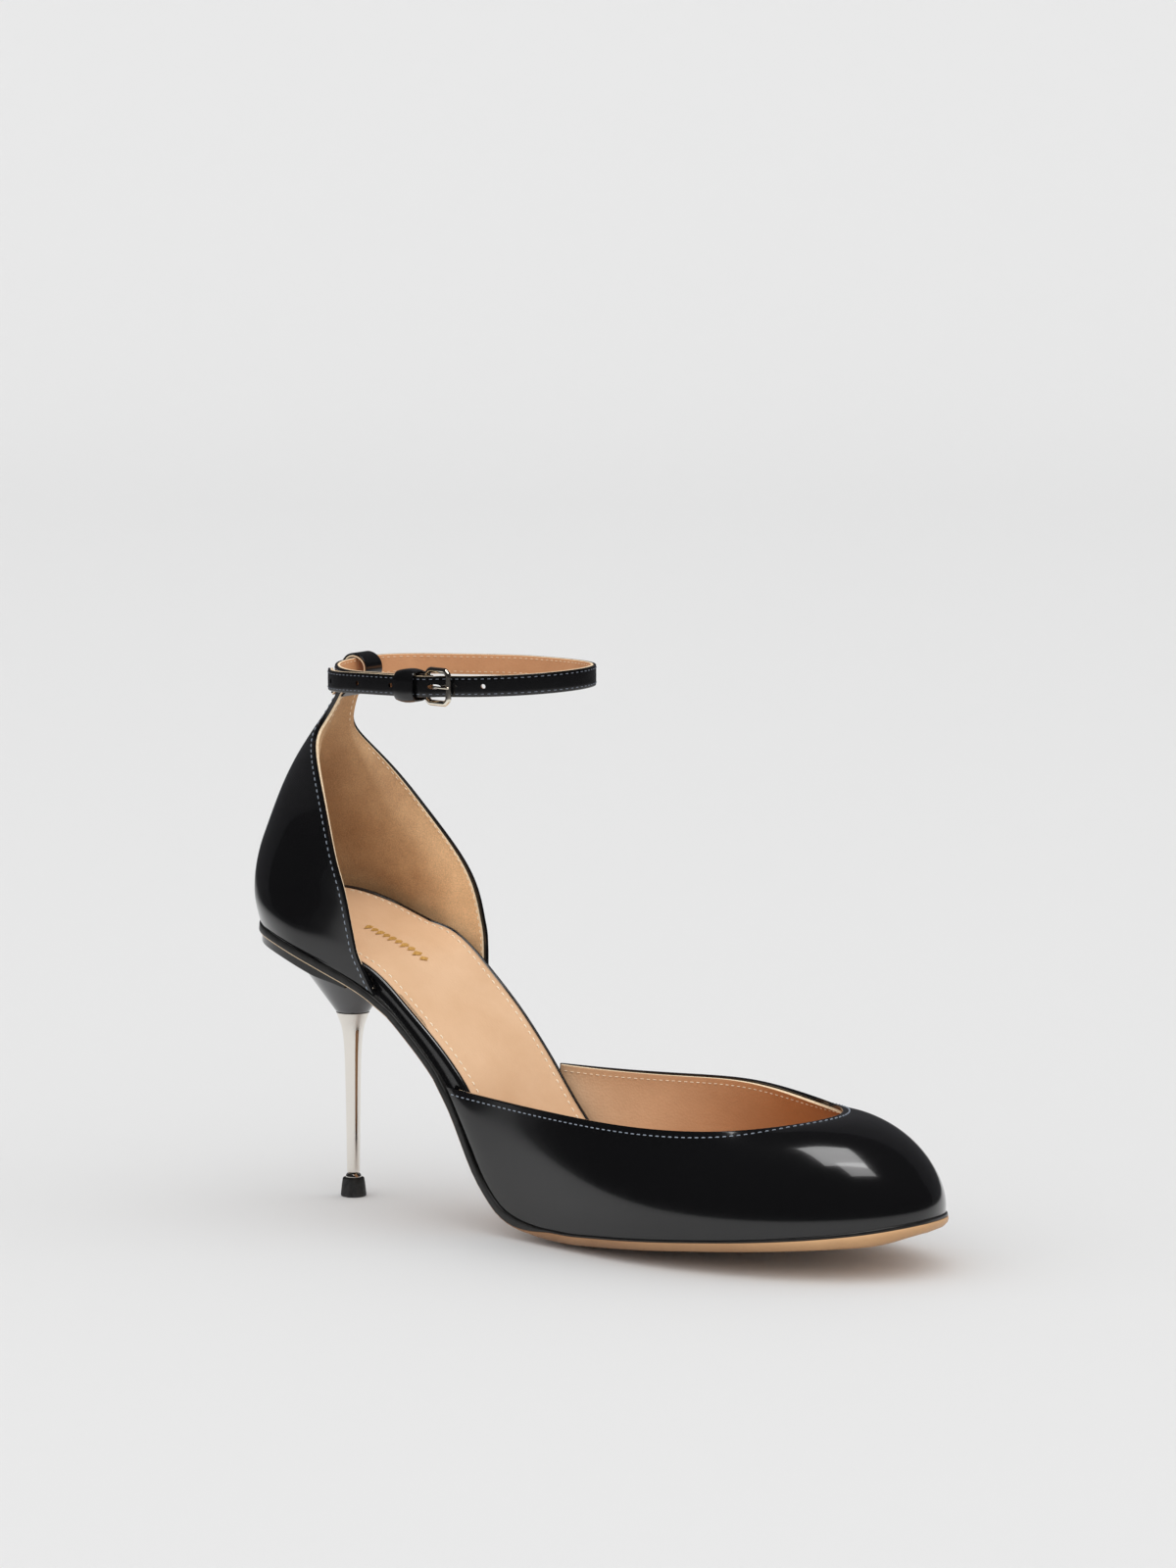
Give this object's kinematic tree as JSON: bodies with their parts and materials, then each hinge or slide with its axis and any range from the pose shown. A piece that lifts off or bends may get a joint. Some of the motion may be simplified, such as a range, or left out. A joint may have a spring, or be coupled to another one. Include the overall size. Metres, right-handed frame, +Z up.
{
  "type": "high heel pump",
  "caption": "Closed-toe pump with a slim metal stiletto heel, open waist, high counter and an ankle strap that buckles on the outer side.",
  "frame": {"origin": "centre of the heel tip's floor face, on the heel pin's axis", "axes": "+X towards the toe, +Y towards the inner (medial) side of this right shoe, +Z up"},
  "size_m": [0.2339, 0.0739, 0.1618],
  "materials": {
    "patent": "black patent leather, mirror gloss",
    "lining": "smooth tan lining leather, satin",
    "suede": "golden brown suede, matt",
    "sock": "smooth pale tan leather, satin",
    "outsole": "tan sole leather with a black painted edge",
    "board": "pressed cellulose insole board, raw",
    "foam": "open-cell latex foam",
    "filler": "cork and resin filler",
    "stiffener": "thermoformed stiffener sheet",
    "core": "moulded heel block",
    "pin": "polished steel",
    "steel": "plain steel",
    "buckle": "polished pale plate",
    "rubber": "black heel tip rubber"
  },
  "bodies": {
    "shoe": {"outsole": "outsole", "insole_board": "board", "sock_lining": "sock", "heel_cushion": "foam", "forepart_foam": "foam", "bottom_filler": "filler", "shank": "steel", "insole_binding_lateral": "patent", "insole_binding_medial": "patent", "quarter_outer": "patent", "counter_stiffener": "stiffener", "quarter_lining": "suede", "vamp_outer": "patent", "toe_puff": "stiffener", "vamp_lining": "lining", "heel_core": "core", "heel_cover": "patent", "heel_pin": "pin", "heel_ferrule": "pin", "heel_tip": "rubber", "heel_tip_dowel": "steel", "heel_screw": "steel", "heel_nail_1": "steel", "heel_nail_2": "steel", "heel_nail_3": "steel", "heel_nail_4": "steel", "strap_loop": "patent"},
    "strap": {"strap_outer": "patent", "strap_lining": "lining"},
    "buckle": {"buckle_frame": "buckle"},
    "prong": {"buckle_prong": "buckle"},
    "keeper": {"strap_keeper": "patent"}
  },
  "joints": [
    {"name": "strap_tilt", "type": "hinge", "parent": "shoe", "child": "strap", "pos_m": [0.0037, 0, 0.15755], "axis": [0, 1, 0], "range_deg": [-40, 60]},
    {"name": "buckle_pivot", "type": "hinge", "parent": "strap", "child": "buckle", "pos_m": [0.0486, -0.02728, 0.15637], "axis": [0, 0, -1], "range_deg": [0, 8]},
    {"name": "prong_lift", "type": "hinge", "parent": "buckle", "child": "prong", "pos_m": [0.0486, -0.02728, 0.15637], "axis": [0, 0, -1], "range_deg": [0, 6]},
    {"name": "keeper_slide", "type": "slide", "parent": "strap", "child": "keeper", "axis": [-1, 0.009, 0], "range_m": [0, 0.003]}
  ]
}
